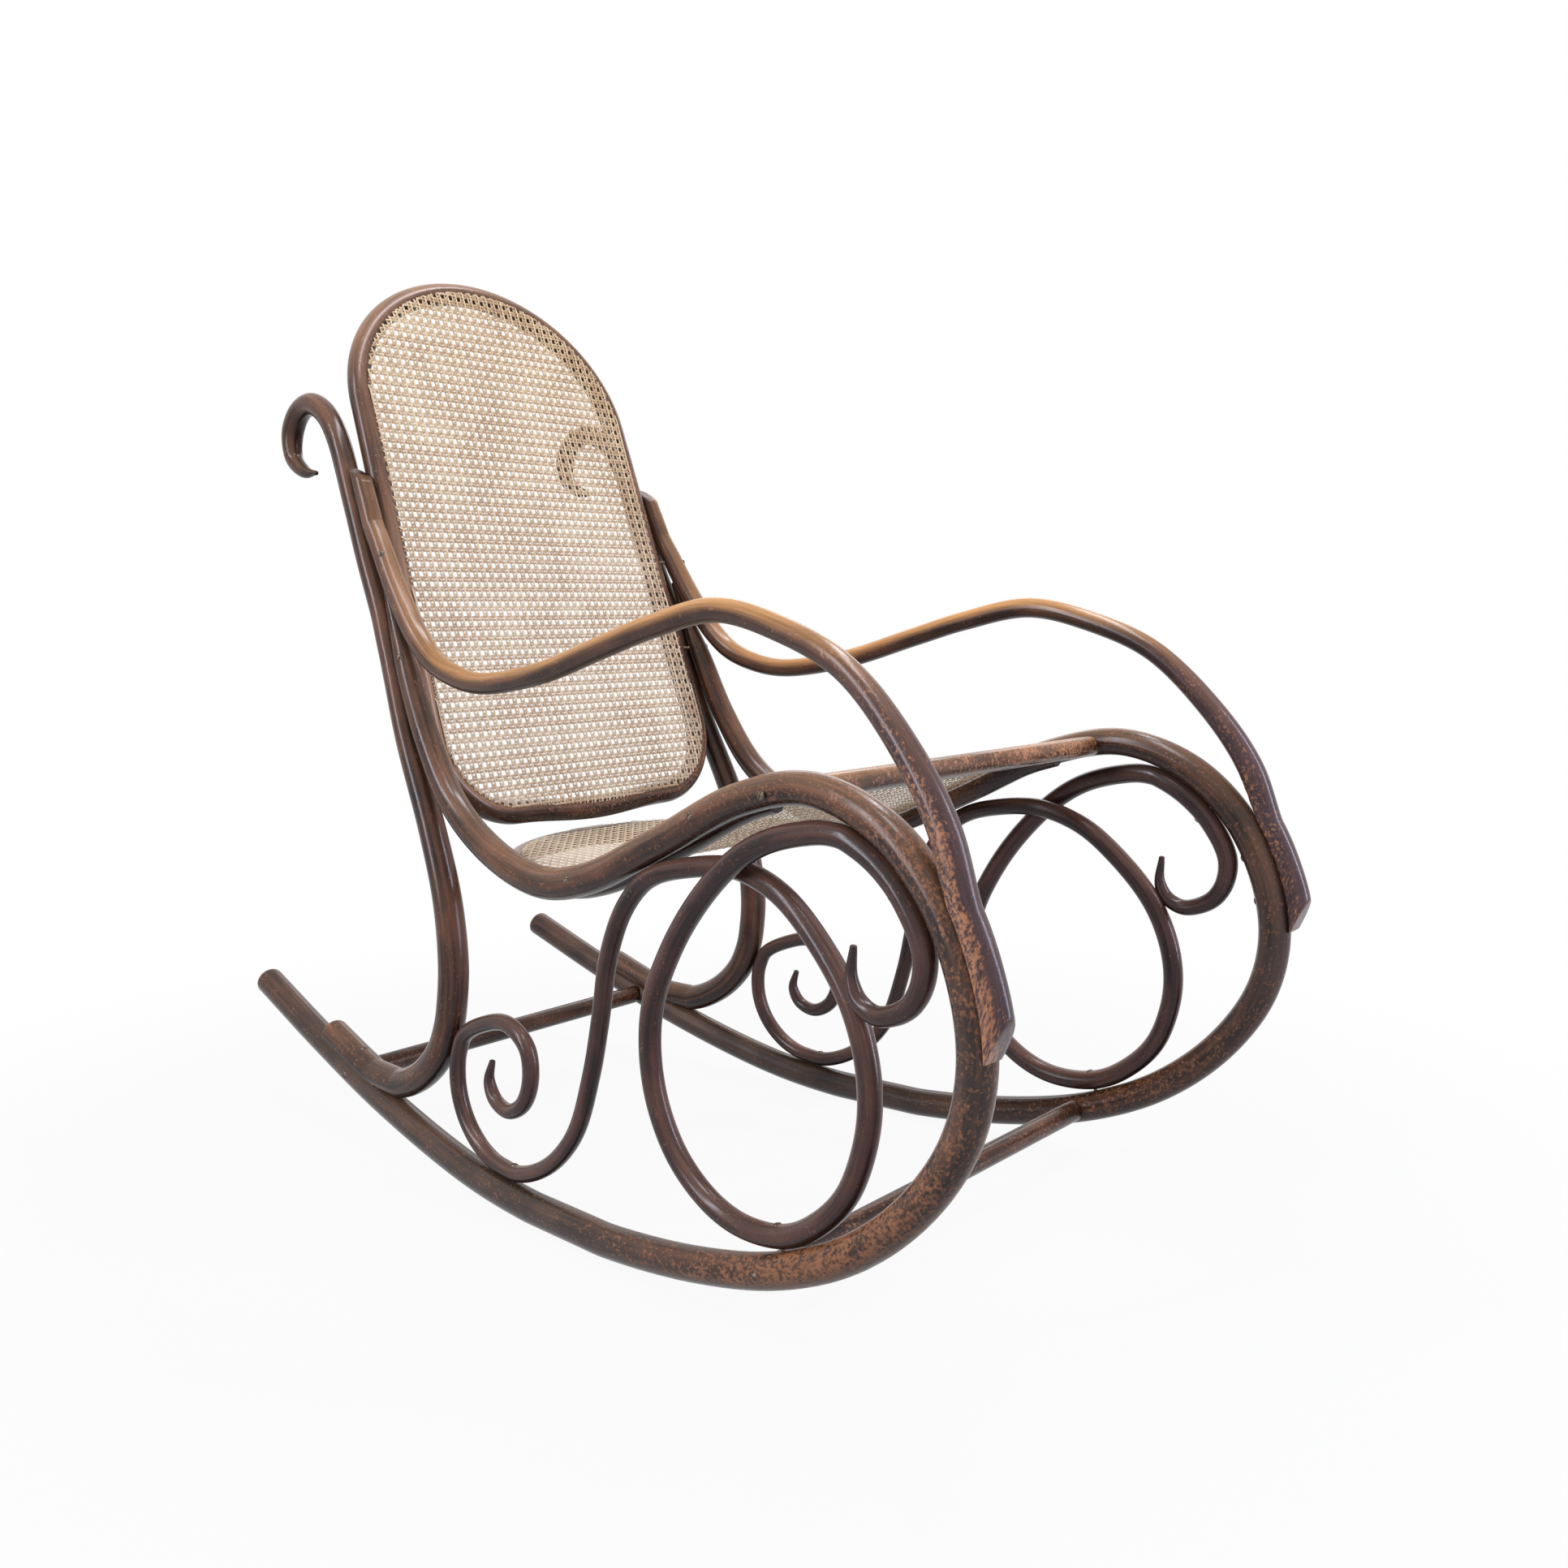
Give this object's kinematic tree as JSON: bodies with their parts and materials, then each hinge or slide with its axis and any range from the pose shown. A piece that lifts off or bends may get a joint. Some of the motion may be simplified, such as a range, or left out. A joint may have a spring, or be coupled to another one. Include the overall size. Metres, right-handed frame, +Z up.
{
  "type": "rocking chair",
  "caption": "Bentwood rocking chair with scrolled side frames, curved runners and a woven cane seat and back.",
  "frame": {"origin": "on the floor, under the middle of the outline", "axes": "+X towards the front of the chair, +Y towards the left of the sitter, +Z up"},
  "size_m": [1.0658, 0.5788, 0.961],
  "materials": {
    "dark_wood": "worn dark brown varnish",
    "worn_wood": "varnish worn through to orange-brown wood",
    "cane": "satin, six-way woven",
    "steel": "dulled, dark"
  },
  "bodies": {
    "root": {"back_hoop": "dark_wood", "seat_rail": "dark_wood", "front_stretcher": "dark_wood", "rear_stretcher": "dark_wood", "front_rail": "worn_wood", "back_cane": "cane", "seat_cane": "cane", "runner_loop_right": "dark_wood", "rear_post_right": "dark_wood", "scroll_loop_right": "dark_wood", "arm_right": "worn_wood", "post_screw_right": "steel", "arm_top_screw_right": "steel", "foot_screw_right": "steel", "arm_front_lower_screw_right": "steel", "arm_front_upper_screw_right": "steel", "arch_screw_right": "steel", "scroll_screw_right": "steel", "rear_curl_screw_right": "steel", "hoop_lower_screw_right": "steel", "hoop_upper_screw_right": "steel", "seat_rear_screw_right": "steel", "seat_front_screw_right": "steel", "front_rail_screw_right": "steel", "front_stretcher_screw_right": "steel", "rear_stretcher_screw_right": "steel", "runner_loop_left": "dark_wood", "rear_post_left": "dark_wood", "scroll_loop_left": "dark_wood", "arm_left": "worn_wood", "post_screw_left": "steel", "arm_top_screw_left": "steel", "foot_screw_left": "steel", "arm_front_lower_screw_left": "steel", "arm_front_upper_screw_left": "steel", "arch_screw_left": "steel", "scroll_screw_left": "steel", "rear_curl_screw_left": "steel", "hoop_lower_screw_left": "steel", "hoop_upper_screw_left": "steel", "seat_rear_screw_left": "steel", "seat_front_screw_left": "steel", "front_rail_screw_left": "steel", "front_stretcher_screw_left": "steel", "rear_stretcher_screw_left": "steel"}
  },
  "joints": []
}
